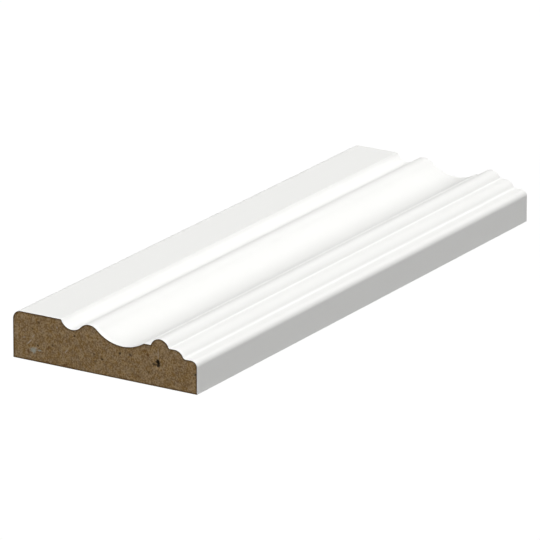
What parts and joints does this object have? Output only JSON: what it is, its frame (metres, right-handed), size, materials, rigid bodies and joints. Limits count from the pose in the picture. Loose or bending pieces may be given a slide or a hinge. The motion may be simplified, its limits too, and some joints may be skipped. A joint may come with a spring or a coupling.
{
  "type": "door casing",
  "caption": "Square-cut length of moulded door casing in primed fibreboard, with a flat band, coves, a bead and an astragal on its face and a flat back.",
  "frame": {"origin": "on the flat back, at the middle of the casing's width and length", "axes": "+X across the face, from the thick outer edge to the thin edge beside the door opening; +Y along the length; +Z out of the back, away from the wall"},
  "size_m": [0.0826, 0.25, 0.0191],
  "materials": {
    "white_primer": "smooth white primer, sprayed on and lightly satin",
    "raw_fibreboard": "bare medium-density fibreboard, matt, sawn at the ends and sanded on the back"
  },
  "bodies": {
    "root": {"casing": "white_primer"}
  },
  "joints": []
}
